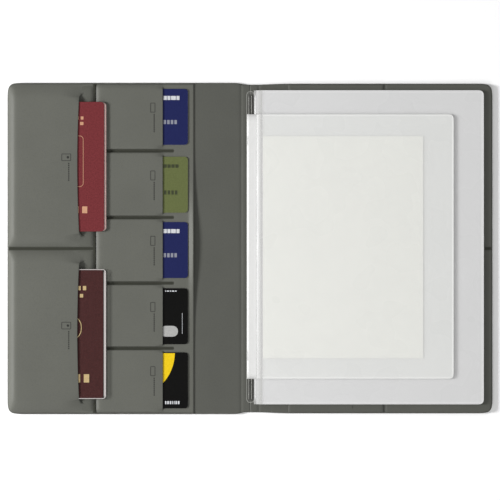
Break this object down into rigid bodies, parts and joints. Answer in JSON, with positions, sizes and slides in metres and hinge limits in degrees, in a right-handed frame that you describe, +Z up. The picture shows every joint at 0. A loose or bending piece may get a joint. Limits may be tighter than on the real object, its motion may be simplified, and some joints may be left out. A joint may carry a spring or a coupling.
{
  "type": "passport holder",
  "caption": "Family document folder lying open: windowed passport pockets, card slit pockets and a document pocket on one leaf, clear page sleeves bound at the spine.",
  "frame": {"origin": "middle of the open folder's footprint, on the surface it lies on", "axes": "+X from the left leaf to the right leaf, +Y up the leaves, +Z up from the surface"},
  "size_m": [0.4686, 0.32, 0.0096],
  "materials": {
    "outer_leather": "satin",
    "lining_leather": "matte",
    "panel_leather": "satin",
    "foam_backing": "matte",
    "board": "matte",
    "clear_film": "satin",
    "small_film": "satin",
    "steel": "polished",
    "passport_red": "satin",
    "passport_brown": "satin",
    "paper": "matte",
    "jacket_film": "gloss",
    "card_blue": "satin",
    "card_green": "satin",
    "card_black": "satin"
  },
  "bodies": {
    "right_cover": {"right_outer_skin": "outer_leather", "right_board": "board", "right_lining": "lining_leather", "right_card_panel": "panel_leather", "right_side_panel": "panel_leather"},
    "spine": {"spine_outer_skin": "outer_leather", "spine_board": "board", "spine_lining": "lining_leather", "clear_spine_strip": "clear_film", "binding_wire": "steel", "lower_wire_keeper": "steel", "upper_wire_keeper": "steel", "small_sleeve_fold": "small_film"},
    "sleeve_hub": {"sleeve_weld_strip": "clear_film"},
    "left_cover": {"left_outer_skin": "outer_leather", "left_board": "board", "left_lining": "lining_leather", "document_pocket_sheet": "panel_leather", "card_pocket_front": "panel_leather", "passport_pocket_back": "foam_backing", "passport_pocket_front": "panel_leather"},
    "a4_sleeve_1": {"a4_sleeve_1_back": "clear_film", "a4_sleeve_1_front": "clear_film"},
    "a4_sleeve_2": {"a4_sleeve_2_back": "clear_film", "a4_sleeve_2_front": "clear_film"},
    "a4_sleeve_3": {"a4_sleeve_3_back": "clear_film", "a4_sleeve_3_front": "clear_film"},
    "small_sleeve_1": {"small_sleeve_1_back": "small_film", "small_sleeve_1_front": "small_film"},
    "small_sleeve_2": {"small_sleeve_2_back": "small_film", "small_sleeve_2_front": "small_film"},
    "passport_1": {"passport_1_cover": "passport_red", "passport_1_pages": "paper"},
    "passport_2": {"passport_2_jacket": "jacket_film", "passport_2_cover": "passport_brown", "passport_2_pages": "paper"},
    "card_1": {"card_1": "card_blue"},
    "card_2": {"card_2": "card_green"},
    "card_3": {"card_3": "card_blue"},
    "card_4": {"card_4": "card_black"},
    "card_5": {"card_5": "card_black"}
  },
  "joints": [
    {"name": "spine_fold", "type": "hinge", "parent": "right_cover", "child": "spine", "pos_m": [0.0085, 0, 0.0015], "axis": [0, 1, 0], "range_deg": [0, 90]},
    {"name": "cover_fold", "type": "hinge", "parent": "spine", "child": "left_cover", "pos_m": [-0.0085, 0, 0.0015], "axis": [0, 1, 0], "range_deg": [0, 90]},
    {"name": "sleeve_hub_bend", "type": "hinge", "parent": "spine", "child": "sleeve_hub", "pos_m": [0.0054, 0, 0.0046], "axis": [0, 1, 0], "range_deg": [-95, 0]},
    {"name": "a4_sleeve_1_turn", "type": "hinge", "parent": "sleeve_hub", "child": "a4_sleeve_1", "pos_m": [0.005, 0, 0.0097], "axis": [0, 1, 0], "range_deg": [-164.5, 0]},
    {"name": "a4_sleeve_2_turn", "type": "hinge", "parent": "sleeve_hub", "child": "a4_sleeve_2", "pos_m": [0.005, 0, 0.0097], "axis": [0, 1, 0], "range_deg": [-167.9, 0]},
    {"name": "a4_sleeve_3_turn", "type": "hinge", "parent": "sleeve_hub", "child": "a4_sleeve_3", "pos_m": [0.005, 0, 0.0097], "axis": [0, 1, 0], "range_deg": [-171.2, 0]},
    {"name": "small_sleeve_1_turn", "type": "hinge", "parent": "sleeve_hub", "child": "small_sleeve_1", "pos_m": [0.005, 0, 0.0097], "axis": [0, 1, 0], "range_deg": [-174.5, 0]},
    {"name": "small_sleeve_2_turn", "type": "hinge", "parent": "sleeve_hub", "child": "small_sleeve_2", "pos_m": [0.005, 0, 0.0097], "axis": [0, 1, 0], "range_deg": [-177.8, 0]},
    {"name": "passport_1_slide", "type": "slide", "parent": "left_cover", "child": "passport_1", "axis": [-1, 0, 0], "range_m": [-0.062, 0]},
    {"name": "passport_2_slide", "type": "slide", "parent": "left_cover", "child": "passport_2", "axis": [-1, 0, 0], "range_m": [-0.062, 0]},
    {"name": "card_1_slide", "type": "slide", "parent": "left_cover", "child": "card_1", "axis": [-1, 0, 0], "range_m": [-0.05, 0]},
    {"name": "card_2_slide", "type": "slide", "parent": "left_cover", "child": "card_2", "axis": [-1, 0, 0], "range_m": [-0.05, 0]},
    {"name": "card_3_slide", "type": "slide", "parent": "left_cover", "child": "card_3", "axis": [-1, 0, 0], "range_m": [-0.05, 0]},
    {"name": "card_4_slide", "type": "slide", "parent": "left_cover", "child": "card_4", "axis": [-1, 0, 0], "range_m": [-0.05, 0]},
    {"name": "card_5_slide", "type": "slide", "parent": "left_cover", "child": "card_5", "axis": [-1, 0, 0], "range_m": [-0.05, 0]}
  ],
  "couplings": [
    {"joint": "sleeve_hub_bend", "follows": "spine_fold", "ratio": -1},
    {"joint": "a4_sleeve_2_turn", "follows": "a4_sleeve_1_turn", "ratio": 1.02},
    {"joint": "a4_sleeve_3_turn", "follows": "a4_sleeve_1_turn", "ratio": 1.04},
    {"joint": "small_sleeve_1_turn", "follows": "a4_sleeve_1_turn", "ratio": 1.06},
    {"joint": "small_sleeve_2_turn", "follows": "a4_sleeve_1_turn", "ratio": 1.08}
  ]
}
